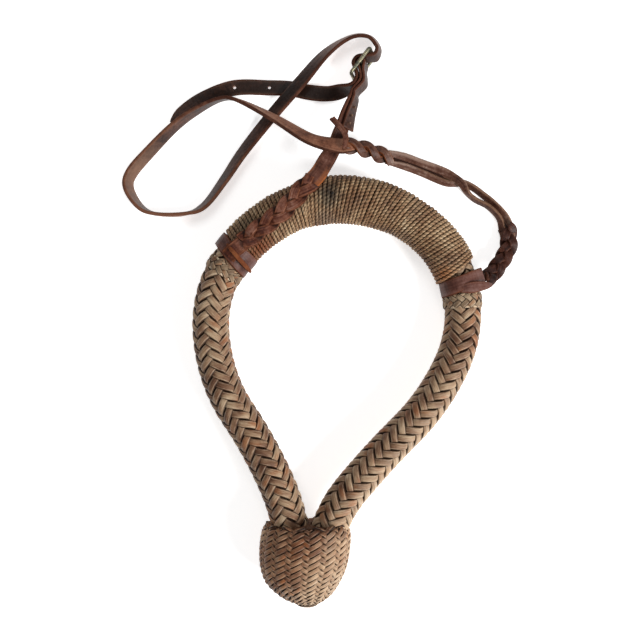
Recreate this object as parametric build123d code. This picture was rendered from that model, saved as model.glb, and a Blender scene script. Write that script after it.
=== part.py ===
from build123d import *
import math
import os

# Bosal: a braided rawhide noseband with its leather hanger, lying flat.
# Millimetres, +Z up. The surface it lies on is z = 0, +Y runs from the heel knot to the nose,
# and the origin is under the middle of the whole object.

# ---- Driving dimensions ----

CORE_R = 8.0            # rawhide core inside the braid
SHANK_R = 13.0          # outside of the shank braid
WRAP_R = 17.7           # outside of the first layer of cord on the nose
WRAP_TOP_R = 19.0       # outside of the second layer, over the middle of the nose
COLLAR_R = 15.4         # ring knots on both sides
COLLAR_LENGTH = 10.0
LOOP_GAP = 0.3          # air between the braid and a leather loop
LOOP_R = 16.0           # outside of the leather loops
LOOP_WIDTH = 11.0

STRAP_WIDTH = 12.0
STRAP_THICK = 2.8
CHEEK_WIDTH = 13.0
CHEEK_THICK = 2.4
FOLD_THICK = 2.0        # the cheek leather is pared down where it folds round the bar
BRAID_WIDTH = 14.0
BRAID_THICK = 5.0
TONGUE_HOLE = (8.0, 4.0)     # slot in the crown strap, along and across it
HOLE_D = 2.6                 # round holes in the free end

KNOT_WALL = 4.5         # braid of the heel knot over its foundation

BUCKLE_LENGTH = 27.0
BUCKLE_WIDTH = 19.0
BUCKLE_WIRE_R = 1.4
BUCKLE_CORNER_R = 2.0
BAR_R = 1.3
BAR_CLEARANCE = 0.3     # between the bar and the leather fold
TONGUE_R = 1.1
TONGUE_WIDTH = 3.0
TONGUE_CLEARANCE = 0.05

# Middle line of the noseband as straight runs that arcs round off, from inside the heel knot up
# the left shank, over the nose and down the right shank. The nose lies level on its wrap and the
# shanks rise to the thicker heel knot.
NOSEBAND_RUNS = [
    (-20.6, -182, 26),
    (-20.6, -156, 25.5),
    (-46, -100, 23.5),
    (-79, -52, 22),
    (-87, 12, 20),
    (-57, 63, WRAP_TOP_R),
    (-3, 93, WRAP_TOP_R),
    (58, 86, WRAP_TOP_R),
    (106, 47, WRAP_TOP_R),
    (115, -13, 20.5),
    (88, -68, 22.5),
    (46, -109, 24),
    (5.6, -157, 25.5),
    (5.6, -182, 26),
]

# Where things sit along the noseband, as places that its middle line passes close to.
WRAP_LEFT_END = (-61.5, 51.5)
WRAP_RIGHT_END = (107, 36)
WRAP_TOP_LEFT = (-12, 86)
WRAP_TOP_RIGHT = (66, 77)
LEFT_LOOP_AT = (-68, 45)
RIGHT_LOOP_AT = (110.5, 24)
LEFT_COLLAR_AT = (-75.5, 33)
RIGHT_COLLAR_AT = (112.5, 10.5)

# The heel knot's oval sections from its top rim down: y, middle x, half width, half thickness.
KNOT_MIDDLE_Z = 27.0
KNOT_SECTIONS = [
    (-160, -10.0, 31.5, 21.5),
    (-167, -10.0, 34.0, 25.5),
    (-179, -11.0, 34.5, 27.0),
    (-192, -12.0, 33.0, 26.0),
    (-204, -12.5, 28.5, 22.5),
    (-214, -11.0, 20.5, 16.5),
    (-219, -9.8, 14.5, 12.0),
    (-222.5, -9.0, 8.0, 7.0),
]

# Strap routes. Each point is x, y, z and the strap's roll in degrees: 0 lies flat, 90 stands on
# its edge, with the roll seen along the strap. A strap's line goes smoothly through its points.
RIGHT_KNOT = [
    (52, 123.2, 18, -10),
    (44, 126, 21, -5),
    (34, 128.4, 25.5, 0),
    (27, 129.2, 28.7, 6),
]
CROWN_RETURN = [
    (21, 129.8, 30.8, 12),
    (14, 129.6, 31, 17),
    (-7, 135.3, 28.5, 46),
    (-35, 153.4, 19.5, 70),
    (-63, 168.2, 14, 85),
    (-77.5, 170.2, 11, 90),
    (-97.5, 160.8, 9.8, 100),
]
CROWN_LEFT_LOOP = [
    (-114, 148.8, 9.6, 110),
    (-133.5, 130, 7.2, 118),
    (-148.3, 113, 6.4, 121),
    (-150.8, 101, 6.3, 116),
    (-141.5, 86, 6.3, 105),
    (-129, 80.5, 6.3, 95),
    (-107, 80.5, 6.3, 95),
    (-91, 87, 6.3, 120),
]
CROWN_RUN = [
    (-75.2, 107.4, 6.3, 128),
    (-60.4, 129.4, 6.3, 136),
    (-38.6, 157, 6.5, 144),
    (-15, 183.6, 9.4, 148),
    (5, 206.8, 8.4, 130),
]
CROWN_TURN = [
    (24.5, 219.5, 8.4, 113),
    (39, 220, 9, 111),
    (46.3, 211.5, 9.8, 110),
]
CROWN_TAIL = [
    (14, 177, 4.8, 150),
    (4, 176.4, 3.0, 168),
    (-9, 178, 1.8, 178),
    (-23, 180.8, 1.6, 180),
    (-39.5, 181.4, 1.8, 179),
    (-67, 181, 3.3, 163),
    (-90.5, 173, 2.2, 174),
    (-108.5, 160.6, 1.7, 180),
    (-114.5, 151, 1.7, 180),
]
TAIL_HOLES = [(-39.5, 181.4), (-67, 181)]
LEFT_CHEEK_BRAID = [
    (-47.5, 62.5, 40.6, 0),
    (-37, 70.5, 40.8, 0),
    (-25, 80.5, 41, 0),
]
LEFT_CHEEK_LOWER = [
    (-11.6, 95.6, 40.4, 0),
    (-1.6, 106.2, 35.4, 4),
    (5, 118, 27.4, 8),
]
LEFT_CHEEK_UPPER = [
    (11.6, 130, 22.5, 15),
    (17.6, 145, 21, 28),
    (21.5, 158, 17.5, 50),
    (26, 170, 14, 64),
]
LEFT_CHEEK_LAP = [
    (28.6, 169.3, 15.3, 116),
    (25, 157, 18.2, 130),
    (22, 144.5, 21.8, 150),
]
LACES = [(25.1, 163, 16.5), (22.8, 156.4, 18.2), (21, 150, 20)]
LACE_DIRECTION = (0.8, -0.3, 0.52)
LACE_R = 0.9
LACE_LENGTH = 8.0
LOOP_NECK = [
    (-69, 44.6, 36.5, 0),
    (-64.5, 49, 38.1, 0),
    (-57.5, 54.6, 38.4, 0),
    (-51.5, 59.4, 38.3, 0),
]
WIDE_STRAND = [
    (54, 126.8, 16.6, 25),
    (66, 124, 12.5, 35),
    (80, 120, 8, 40),
    (104, 112, 4.6, 25),
    (109.2, 109.9, 4.6, 10),
]
NARROW_STRAND = [
    (51.6, 119.6, 16, 70),
    (66, 117.2, 10.5, 80),
    (80, 113, 6, 80),
    (103, 104.5, 3.6, 70),
    (107, 103.7, 3.4, 70),
]
RIGHT_TWIST = [
    (108.6, 107, 4.6, 0),
    (113.5, 105.2, 5, 0),
    (118.5, 101.6, 4.6, 0),
]
FORK_OUTER = [
    (120.2, 103.1, 3.8, 60),
    (130, 96, 3.4, 60),
    (138, 89.5, 3.4, 50),
    (147.6, 78.9, 3.8, 40),
]
FORK_INNER = [
    (117.1, 99, 3.6, 60),
    (124.5, 91.8, 3.2, 60),
    (133.4, 85, 3.4, 60),
    (141.5, 76.5, 3.6, 50),
]
RIGHT_BRAID = [
    (144.6, 76, 4.2, 0),
    (150, 66, 5, 0),
    (149.5, 53.5, 7.4, 0),
    (142.5, 41.5, 10.6, 0),
    (136, 33, 13.6, 0),
]
TIE = [
    (10, 151, 29, 0),
    (17.5, 141.5, 33.5, 0),
    (20.2, 135, 35.8, 0),
    (19.4, 126.5, 36.2, 0),
    (18.2, 120.5, 33.2, 0),
]
WIDE_STRAND_SIZE = (6.4, 2.6)       # width and thickness
NARROW_STRAND_SIZE = (4.4, 2.6)
FORK_SIZE = (5.0, 2.6)
TWIST_SIZE = (11.0, 6.0)
RIGHT_KNOT_SIZE = (12.5, 5.0)
RIGHT_BRAID_SIZE = (11.0, 7.0)
TIE_SIZE = (3.0, 2.2)

BUCKLE_CENTRE = (34.2, 197.3, 9.8)
BUCKLE_DIRECTION = (-0.6, -0.8)      # from the end bar under the tongue's tip to the other one
BUCKLE_LEAN = 20.0                   # degrees that the frame leans over from upright
# Side views of the straps in the buckle: distance along the frame, height over its plane.
BILLET_SIDE_VIEW = [
    (-11.5, -4.9),
    (-7.2, -0.2),
    (-2.6, 5.6),
    (3, 5.6),
    (7, 0.6),
    (11.8, -4.6),
    (19, -4.2),
]
FOLD_FRONT = [(21, -7.9), (12, -8.4), (7.2, -5.0), (3.4, -0.2)]
FOLD_TURN_ANGLES = (60, 100, 140, 180, 220, 260)
FOLD_BACK = [(3.2, -4.6), (7.0, -8.2), (12, -11.4), (21, -10.4)]
TONGUE_HOLE_AT = (-5.0, 2.6)
TONGUE_HOLE_SLOPE = 51.0             # degrees of the crown strap where the tongue comes through
FOLD_SLOT = (11.0, 4.6, 12.0)        # room for the tongue in the folded leather
FOLD_SLOT_AT = -2.0

ROUTE_STEPS = 6         # pieces between two points of a strap's route


# ---- Helpers ----

def save(shape, name):
    """Writes one part's STEP file."""
    export_step(shape, f"parts/{name}.step")


def through(points):
    """Points of a smooth line through the given ones; every number of a point is carried along."""
    ends = [points[0], *points, points[-1]]
    line = []
    for a, b, c, d in zip(ends, ends[1:], ends[2:], ends[3:]):
        for i in range(ROUTE_STEPS):
            t = i / ROUTE_STEPS
            line.append(tuple(
                0.5 * (2 * q + (r - p) * t + (2 * p - 5 * q + 4 * r - s) * t**2
                       + (3 * q - p - 3 * r + s) * t**3)
                for p, q, r, s in zip(a, b, c, d)
            ))
    return line + [tuple(points[-1])]


def along_line(at, i):
    """The line's direction at its point i."""
    return (at[min(i + 1, len(at) - 1)] - at[max(i - 1, 0)]).normalized()


def side_and_up(along):
    """The level direction to the left of a line, and the upward one square to both."""
    side = Vector(0, 0, 1).cross(along).normalized()
    return side, along.cross(side)


def strap_section(at, along, roll, width, thick):
    """A strap's section: an oblong square to its line, rolled about it."""
    side, up = side_and_up(along)
    turn = math.radians(roll)
    wide = side * math.cos(turn) + up * math.sin(turn)
    deep = along.cross(wide)
    corners = [
        at + wide * (i * width / 2) + deep * (j * thick / 2)
        for i, j in ((-1, -1), (1, -1), (1, 1), (-1, 1))
    ]
    return Wire.make_polygon(corners, close=True)


def strap_chain(stretches):
    """Straps end to end on one smooth line, as a dictionary of solids.

    A stretch is a name, its route points, width and thickness. It starts at the last point of
    the stretch before it.
    """
    route = []
    spans = []
    for name, points, width, thick in stretches:
        first = max(len(route) - 1, 0)
        route += points
        spans.append((name, first, len(route) - 1, width, thick))
    line = through(route)
    at = [Vector(*p[:3]) for p in line]
    solids = {}
    for name, first, last, width, thick in spans:
        sections = [
            strap_section(at[i], along_line(at, i), line[i][3], width, thick)
            for i in range(first * ROUTE_STEPS, last * ROUTE_STEPS + 1)
        ]
        solids[name] = Solid.make_loft(sections, ruled=True)
    return solids


def strap(points, width, thick):
    """One strap along its own route."""
    return strap_chain([("strap", points, width, thick)])["strap"]


def corner_radii(points):
    """Arcs as large as the runs on both sides of each corner allow."""
    radii = []
    for a, b, c in zip(points, points[1:], points[2:]):
        before = Vector(*b) - Vector(*a)
        after = Vector(*c) - Vector(*b)
        turn = math.radians(before.get_angle(after))
        radii.append(0.45 * min(before.length, after.length) / math.tan(turn / 2))
    return radii


def nearest(path, spot):
    """The share of the path's length at which it is nearest to an x, y spot."""
    def gap(share):
        at = path.position_at(share)
        return math.hypot(at.X - spot[0], at.Y - spot[1])
    best = min((i / 200 for i in range(201)), key=gap)
    for step in (0.001, 0.0002):
        tries = [best + i * step for i in range(-5, 6)]
        best = min((share for share in tries if 0 <= share <= 1), key=gap)
    return best


def rod_on(path, start, end, radius):
    """A round bar that follows the path from one share of its length to another."""
    stretch = path.trim(start, end)
    across = Plane(origin=stretch @ 0, z_dir=stretch % 0)
    return sweep(across * Circle(radius), path=stretch)


def tube_on(path, start, end, outer, inner):
    """A tube that follows the path."""
    return rod_on(path, start, end, outer) - rod_on(path, start, end, inner)


def knot_body(shrink):
    """The heel knot's outside, or its foundation when shrunk."""
    rings = []
    for y, x, half_width, half_thick in KNOT_SECTIONS:
        level = Plane(origin=(x, y, KNOT_MIDDLE_Z), x_dir=(1, 0, 0), z_dir=(0, -1, 0))
        rings.append(level * Ellipse(half_width - shrink, half_thick - shrink))
    return loft(rings)


# ---- Noseband ----

def make_noseband():
    """The braided noseband with its wrap, ring knots, loops and heel knot."""
    path = Wire(FilletPolyline(*NOSEBAND_RUNS, radius=corner_radii(NOSEBAND_RUNS)).edges())
    wrap_left = nearest(path, WRAP_LEFT_END)
    wrap_right = nearest(path, WRAP_RIGHT_END)
    top_left = nearest(path, WRAP_TOP_LEFT)
    top_right = nearest(path, WRAP_TOP_RIGHT)
    parts = {
        "noseband_core": rod_on(path, 0, 1, CORE_R),
        "left_shank_braid": tube_on(path, 0, wrap_left, SHANK_R, CORE_R),
        "right_shank_braid": tube_on(path, wrap_right, 1, SHANK_R, CORE_R),
        "nose_braid": tube_on(path, wrap_left, wrap_right, SHANK_R, CORE_R),
        "nose_wrap_base": tube_on(path, wrap_left, wrap_right, WRAP_R, SHANK_R),
        "nose_wrap_top": tube_on(path, top_left, top_right, WRAP_TOP_R, WRAP_R),
    }
    for name, spot, outer, inner, wide in (
        ("left_collar", LEFT_COLLAR_AT, COLLAR_R, SHANK_R, COLLAR_LENGTH),
        ("right_collar", RIGHT_COLLAR_AT, COLLAR_R, SHANK_R, COLLAR_LENGTH),
        ("left_loop", LEFT_LOOP_AT, LOOP_R, SHANK_R + LOOP_GAP, LOOP_WIDTH),
        ("right_loop", RIGHT_LOOP_AT, LOOP_R, SHANK_R + LOOP_GAP, LOOP_WIDTH),
    ):
        middle = nearest(path, spot)
        half = wide / 2 / path.length
        parts[name] = tube_on(path, middle - half, middle + half, outer, inner)
    shanks = rod_on(path, 0, 0.15, SHANK_R) + rod_on(path, 0.85, 1, SHANK_R)
    foundation = knot_body(KNOT_WALL)
    parts["heel_knot_foundation"] = foundation - shanks
    parts["heel_knot_cover"] = knot_body(0) - foundation - shanks
    parts["left_loop_neck"] = strap(LOOP_NECK, BRAID_WIDTH, CHEEK_THICK)
    return parts


# ---- Buckle ----

def buckle_plane():
    """Plane of the buckle: x along the frame, y across it, z out of its front."""
    lean = math.radians(BUCKLE_LEAN)
    along_x, along_y = BUCKLE_DIRECTION
    front = (along_y * math.cos(lean), -along_x * math.cos(lean), -math.sin(lean))
    return Plane(origin=BUCKLE_CENTRE, x_dir=(along_x, along_y, 0), z_dir=front)


def in_buckle(frame, side_view):
    """Route points of a strap that lies across the frame, from its side view."""
    at = [frame.from_local_coords(Vector(u, 0, w)) for u, w in side_view]
    route = []
    for i, here in enumerate(at):
        side, up = side_and_up(along_line(at, i))
        roll = math.degrees(math.atan2(frame.y_dir.dot(up), frame.y_dir.dot(side)))
        route.append((here.X, here.Y, here.Z, roll))
    return route


def make_buckle(frame):
    """The brass frame with its middle bar, and the tongue that turns on the bar."""
    half_length = BUCKLE_LENGTH / 2 - BUCKLE_WIRE_R
    half_width = BUCKLE_WIDTH / 2 - BUCKLE_WIRE_R
    corners = [(-1, -1), (1, -1), (1, 1), (-1, 1)]
    outline = FilletPolyline(
        *[(i * half_length, j * half_width, 0) for i, j in corners], radius=BUCKLE_CORNER_R, close=True
    )
    wire_face = Plane(origin=(0, -half_width, 0), z_dir=(1, 0, 0)) * Circle(BUCKLE_WIRE_R)
    ring = sweep(wire_face, path=Wire(outline.edges()))
    bar = Rot(90, 0, 0) * Cylinder(BAR_R, 2 * half_width)
    bore_r = BAR_R + TONGUE_CLEARANCE
    hub = Rot(90, 0, 0) * Cylinder(bore_r + 1.0, TONGUE_WIDTH)
    bore = Rot(90, 0, 0) * Cylinder(bore_r, TONGUE_WIDTH + 1)
    reach = half_length + 1.2
    rod_height = BUCKLE_WIRE_R + TONGUE_R + 0.1
    rod = Pos(-reach / 2, 0, rod_height) * Box(reach, TONGUE_WIDTH - 0.6, 2 * TONGUE_R)
    return {
        "buckle_frame": frame * (ring + bar),
        "buckle_tongue": frame * (hub + rod - bore),
    }


# ---- Hanger ----

def make_crown(frame):
    """The crown strap from the knot it makes with the right cheek round to its free end."""
    parts = strap_chain([
        ("right_cheek_knot", RIGHT_KNOT, *RIGHT_KNOT_SIZE),
        ("crown_strap_return", CROWN_RETURN, STRAP_WIDTH, STRAP_THICK),
        ("crown_strap_left_loop", CROWN_LEFT_LOOP, STRAP_WIDTH, STRAP_THICK),
        ("crown_strap_run", CROWN_RUN, STRAP_WIDTH, STRAP_THICK),
        ("crown_strap_turn", CROWN_TURN, STRAP_WIDTH, STRAP_THICK),
        ("crown_strap_billet", in_buckle(frame, BILLET_SIDE_VIEW), STRAP_WIDTH, STRAP_THICK),
        ("crown_strap_tail", CROWN_TAIL, STRAP_WIDTH, STRAP_THICK),
    ])
    u, w = TONGUE_HOLE_AT
    hole = Pos(u, 0, w) * Rot(0, -TONGUE_HOLE_SLOPE, 0) * Box(*TONGUE_HOLE, 8)
    parts["crown_strap_billet"] -= frame * hole
    for x, y in TAIL_HOLES:
        parts["crown_strap_tail"] -= Pos(x, y, 3) * Cylinder(HOLE_D / 2, 12)
    return parts


def make_left_cheek(frame):
    """The left cheek from its braid up to the buckle, its folded-back end and the lacing."""
    middle = BAR_R + BAR_CLEARANCE + FOLD_THICK / 2
    turn = [
        (middle * math.cos(math.radians(a)), middle * math.sin(math.radians(a)))
        for a in FOLD_TURN_ANGLES
    ]
    fold = in_buckle(frame, FOLD_FRONT + turn + FOLD_BACK)
    parts = strap_chain([
        ("left_cheek_braid", LEFT_CHEEK_BRAID, BRAID_WIDTH, BRAID_THICK),
        ("left_cheek_lower", LEFT_CHEEK_LOWER, CHEEK_WIDTH, CHEEK_THICK),
        ("left_cheek_upper", LEFT_CHEEK_UPPER, STRAP_WIDTH, CHEEK_THICK),
        ("left_cheek_fold", fold, STRAP_WIDTH, FOLD_THICK),
        ("left_cheek_lap", LEFT_CHEEK_LAP, STRAP_WIDTH - 2, FOLD_THICK),
    ])
    parts["left_cheek_fold"] -= frame * (Pos(FOLD_SLOT_AT, 0, 0) * Box(*FOLD_SLOT))
    laces = [
        Plane(origin=at, z_dir=LACE_DIRECTION) * Cylinder(LACE_R, LACE_LENGTH) for at in LACES
    ]
    for lace in laces:
        parts["left_cheek_upper"] -= lace
        parts["left_cheek_lap"] -= lace
    parts["lap_lacing"] = Compound(laces)
    return parts


def make_right_cheek():
    """The right cheek's tie, and its strands down to the braid above the loop."""
    return {
        "right_cheek_tie": strap(TIE, *TIE_SIZE),
        "right_cheek_wide_strand": strap(WIDE_STRAND, *WIDE_STRAND_SIZE),
        "right_cheek_narrow_strand": strap(NARROW_STRAND, *NARROW_STRAND_SIZE),
        "right_cheek_twist": strap(RIGHT_TWIST, *TWIST_SIZE),
        "right_cheek_fork_outer": strap(FORK_OUTER, *FORK_SIZE),
        "right_cheek_fork_inner": strap(FORK_INNER, *FORK_SIZE),
        "right_cheek_braid": strap(RIGHT_BRAID, *RIGHT_BRAID_SIZE),
    }


def main():
    """Builds and writes every part."""
    os.makedirs("parts", exist_ok=True)
    frame = buckle_plane()
    parts = make_noseband()
    parts.update(make_buckle(frame))
    parts.update(make_crown(frame))
    parts.update(make_left_cheek(frame))
    parts.update(make_right_cheek())
    for name, shape in parts.items():
        save(shape, name)


main()
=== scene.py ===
import math

import bpy
import numpy as np
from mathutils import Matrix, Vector


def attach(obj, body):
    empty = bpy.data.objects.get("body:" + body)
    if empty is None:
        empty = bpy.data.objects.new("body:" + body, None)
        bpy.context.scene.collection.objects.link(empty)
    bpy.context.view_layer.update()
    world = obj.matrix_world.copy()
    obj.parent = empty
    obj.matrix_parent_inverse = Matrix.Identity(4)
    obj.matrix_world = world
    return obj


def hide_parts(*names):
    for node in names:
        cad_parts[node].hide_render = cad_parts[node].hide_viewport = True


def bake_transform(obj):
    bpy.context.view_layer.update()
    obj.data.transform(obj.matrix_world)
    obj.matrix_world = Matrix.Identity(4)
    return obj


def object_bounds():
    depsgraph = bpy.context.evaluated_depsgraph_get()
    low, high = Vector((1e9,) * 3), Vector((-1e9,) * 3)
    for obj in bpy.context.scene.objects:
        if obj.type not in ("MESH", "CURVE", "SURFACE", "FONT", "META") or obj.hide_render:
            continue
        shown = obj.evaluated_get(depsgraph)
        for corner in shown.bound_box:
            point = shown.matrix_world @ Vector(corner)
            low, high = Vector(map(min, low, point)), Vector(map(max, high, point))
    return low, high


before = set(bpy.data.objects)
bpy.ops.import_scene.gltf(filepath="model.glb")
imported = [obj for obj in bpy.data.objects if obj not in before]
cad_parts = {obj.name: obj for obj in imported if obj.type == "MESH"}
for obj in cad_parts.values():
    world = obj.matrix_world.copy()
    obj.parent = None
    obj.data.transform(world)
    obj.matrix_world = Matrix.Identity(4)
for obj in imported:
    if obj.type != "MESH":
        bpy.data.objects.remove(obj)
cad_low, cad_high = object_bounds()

# Bosal: the looks of a braided rawhide noseband and its leather hanger. Routes and sizes are in
# millimetres, and everything that is built from them is in metres.

MM = 0.001
UP = np.array((0.0, 0.0, 1.0))
rng = np.random.default_rng(11)

# ---- Routes, close to the CAD model's, with ends that run on under their neighbours ----

NOSEBAND_RUNS = [
    (-20.6, -182, 26), (-20.6, -156, 25.5), (-46, -100, 23.5), (-79, -52, 22), (-87, 12, 20),
    (-57, 63, 19), (-3, 93, 19), (58, 86, 19), (106, 47, 19), (115, -13, 20.5),
    (88, -68, 22.5), (46, -109, 24), (5.6, -157, 25.5), (5.6, -182, 26),
]
WRAP_LEFT_END = (-61.5, 51.5)
WRAP_RIGHT_END = (107, 36)
WRAP_TOP_LEFT = (-12, 86)
WRAP_TOP_RIGHT = (66, 77)
LEFT_LOOP_AT = (-68, 45)
RIGHT_LOOP_AT = (110.5, 24)
LEFT_COLLAR_AT = (-75.5, 33)
RIGHT_COLLAR_AT = (112.5, 10.5)

# The heel knot's oval sections: y, middle x, half width, half thickness. The first two lead
# the strands inwards over the top rim.
KNOT_MIDDLE_Z = 27.0
KNOT_SECTIONS = [
    (-164, -10, 25.5, 16), (-160.5, -10, 29, 19), (-161.5, -10, 31.8, 22.5),
    (-167, -10, 34, 25.5), (-179, -11, 34.5, 27), (-192, -12, 33, 26),
    (-204, -12.5, 28.5, 22.5), (-214, -11, 20.5, 16.5), (-219.5, -9.8, 12.5, 10.5),
    (-222.6, -9, 4.5, 4),
]

# Strap routes: x, y, z and the roll in degrees about the way along.
RIGHT_KNOT = [(52, 123.2, 18, -10), (44, 126, 21, -5), (34, 128.4, 25.5, 0), (27, 129.2, 28.7, 6)]
CROWN_RETURN = [
    (21, 129.8, 30.8, 12), (14, 129.6, 31, 15), (-7, 135.3, 28.5, 38), (-35, 153.4, 19.5, 57),
    (-63, 168.2, 14, 76), (-77.5, 170.2, 11, 86), (-97.5, 160.8, 9.8, 100),
]
CROWN_LEFT_LOOP = [
    (-114, 148.8, 9.6, 110), (-133.5, 130, 7.2, 118), (-148.3, 113, 6.4, 121),
    (-150.8, 101, 6.3, 116), (-141.5, 86, 6.3, 105), (-129, 80.5, 6.3, 95),
    (-107, 80.5, 6.3, 95), (-91, 87, 6.3, 120),
]
CROWN_RUN = [
    (-75.2, 107.4, 6.3, 128), (-60.4, 129.4, 6.3, 136), (-38.6, 157, 6.5, 144), (-15, 183.6, 9.4, 148),
    (5, 206.8, 8.4, 130),
]
CROWN_TURN = [(24.5, 219.5, 8.4, 113), (39, 220, 9, 111), (46.3, 211.5, 9.8, 110)]
CROWN_TAIL = [
    (14, 177, 4.8, 150), (4, 176.4, 3.0, 168), (-9, 178, 1.8, 178), (-23, 180.8, 1.6, 180),
    (-39.5, 181.4, 1.8, 179), (-67, 181, 3.3, 163), (-90.5, 173, 2.2, 174), (-108.5, 160.6, 1.7, 180),
    (-114.5, 151, 1.7, 180),
]
TAIL_TIP = (-117, 152.6, 1.7)
TAIL_HOLES = [(-39.5, 181.4, 2.5), (-67, 181, 2.5)]
HOLE_R = 1.3
HOLE_DEPTH = 8.0
LEFT_CHEEK_BRAID = [(-47.5, 62.5, 40.6, 0), (-37, 70.5, 40.8, 0), (-25, 80.5, 41, 0)]
LEFT_CHEEK_LOWER = [(-11.6, 95.6, 40.4, 0), (-1.6, 106.2, 35.4, 4), (5, 118, 27.4, 8)]
LEFT_BRAID_TOP = (-5, 102, 37.6, 2)
LEFT_CHEEK_UPPER = [(11.6, 130, 22.5, 15), (17.6, 145, 21, 28), (21.5, 158, 17.5, 50), (26, 170, 14, 64)]
LEFT_CHEEK_LAP = [(28.6, 169.3, 15.3, 116), (25, 157, 18.2, 130), (22, 144.5, 21.8, 150)]
LOOP_NECK = [(-69, 44.6, 36.5, 0), (-64.5, 49, 38.1, 0), (-57.5, 54.6, 38.4, 0), (-51.5, 59.4, 38.3, 0)]
WIDE_STRAND = [(54, 126.8, 16.6, 25), (66, 124, 12.5, 35), (80, 120, 8, 40), (98, 114, 4.8, 32)]
WIDE_CROSSING = [(107, 109.5, 5.4, 15), (113, 104.2, 6.8, 20)]
NARROW_STRAND = [(51.6, 120.1, 16, 38), (66, 117.7, 10.5, 38), (80, 113.5, 6, 38), (99, 105.9, 3.8, 38)]
NARROW_CROSSING = [(108, 105, 3.2, 40), (114.5, 105.4, 3.0, 30)]
# A dark strip laid in the slit between the wide and the narrow strand, as its painted shadow.
SLIT_SHADOW = [
    (58, 122.0, 14.4, 20), (68, 119.5, 10.5, 20), (82, 115.2, 6.2, 20), (96, 110.3, 3.8, 20),
    (104, 107.8, 2.2, 20),
]
FORK_OUTER = [(122.6, 101.4, 3.8, 60), (130, 96, 3.4, 60), (138, 89.5, 3.4, 50), (147.6, 78.9, 3.8, 40)]
FORK_INNER = [(118, 97.4, 3.6, 60), (124.5, 91.8, 3.2, 60), (134.8, 86.4, 3.4, 60), (143, 77.6, 3.6, 50)]
FORK_OUTER_END = [(151.6, 69, 4.6, 30), (152, 60, 6, 20)]
FORK_INNER_END = [(145.4, 68, 4.6, 30), (146.5, 61, 6, 20)]
RIGHT_BRAID = [
    (148.6, 70, 4.8, 0), (150, 66, 5, 0), (149.5, 53.5, 7.4, 0), (142.5, 41.5, 10.6, 0),
    (136, 33, 13.6, 0), (129.5, 28, 18.5, 0),
]
TWIST_START = (56.5, 121.6, 15.5, 0)
TWIST_END = (20, 130.2, 30.4, 0)
TIE = [(10, 151, 29, 0), (17.5, 141.5, 33.5, 0), (20.2, 135, 35.8, 0), (19.4, 126.5, 36.2, 0)]
BUCKLE_CENTRE = (34.2, 197.3, 9.8)
BUCKLE_DIRECTION = (-0.6, -0.8)
BUCKLE_LEAN = 20.0

# Side views of what lies across the buckle: along it and up from its middle.
BILLET_SIDE_VIEW = [(-11.5, -4.9), (-7.2, -0.2), (-2.6, 5.6), (3, 5.6), (7, 0.6), (11.8, -4.6), (19, -4.2)]
FOLD_FRONT = [(21, -7.9), (12, -8.4), (7.2, -5.0), (3.4, -0.2)]
FOLD_TURN_ANGLES = (60, 100, 140, 180, 220, 260)
FOLD_TURN_R = 2.6
FOLD_BACK = [(3.2, -4.6), (7.0, -8.2), (12, -11.4), (21, -10.4)]


# ---- Lines ----

def unit(v):
    """The vectors at length 1."""
    return v / np.maximum(np.linalg.norm(v, axis=-1, keepdims=True), 1e-12)


def arc_length(at):
    """How far along its line each point is."""
    return np.concatenate(([0.0], np.cumsum(np.linalg.norm(np.diff(at, axis=0), axis=1))))


def quadratic(points, steps=40):
    """A smooth line that rounds off the runs between the given points."""
    p = np.array(points, float) * MM
    ends = [p[0], *((p[1:-2] + p[2:-1]) / 2), p[-1]]
    t = np.linspace(0, 1, steps, endpoint=False)[:, None]
    runs = [
        (1 - t) ** 2 * a + 2 * t * (1 - t) * b + t**2 * c
        for a, b, c in zip(ends, p[1:-1], ends[1:])
    ]
    return np.vstack([*runs, p[-1:]])


def through(rows, steps=12):
    """Rows of a smooth line through the given rows of numbers."""
    r = np.array([rows[0], *rows, rows[-1]], float)
    a, b, c, d = r[:-3, None], r[1:-2, None], r[2:-1, None], r[3:, None]
    t = np.linspace(0, 1, steps, endpoint=False)[None, :, None]
    line = 0.5 * (
        2 * b + (c - a) * t + (2 * a - 5 * b + 4 * c - d) * t**2 + (3 * b - a - 3 * c + d) * t**3
    )
    return np.vstack([line.reshape(-1, r.shape[1]), r[-1:]])


def wander(count, every, size):
    """A slow random drift of that size, one number for each of count points."""
    knots = rng.normal(0, size, max(count // every, 2) + 2)
    return np.interp(np.linspace(0, len(knots) - 1, count), np.arange(len(knots)), knots)


class Tube:
    """The noseband's middle line, to place things round it."""

    def __init__(self, at):
        self.at = at
        self.s = arc_length(at)
        self.along = unit(np.gradient(at, self.s, axis=0))
        self.side = unit(np.cross(self.along, UP))
        self.up = np.cross(self.side, self.along)

    def between(self, s, rows):
        return np.column_stack([np.interp(s, self.s, rows[:, i]) for i in range(3)])

    def near(self, spot):
        """The length along the line at which it is nearest to an x, y spot in millimetres."""
        gaps = np.hypot(self.at[:, 0] - spot[0] * MM, self.at[:, 1] - spot[1] * MM)
        return self.s[int(np.argmin(gaps))]

    def round(self, s, angle, radius):
        """Points at that length, angle and distance from the line, and the way out of it.

        Angle 0 is inside the noseband and a quarter turn is on top.
        """
        out = unit(
            self.between(s, self.side) * np.cos(angle)[:, None]
            + self.between(s, self.up) * np.sin(angle)[:, None]
        )
        return self.between(s, self.at) + out * np.reshape(radius, (-1, 1)), out


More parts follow.
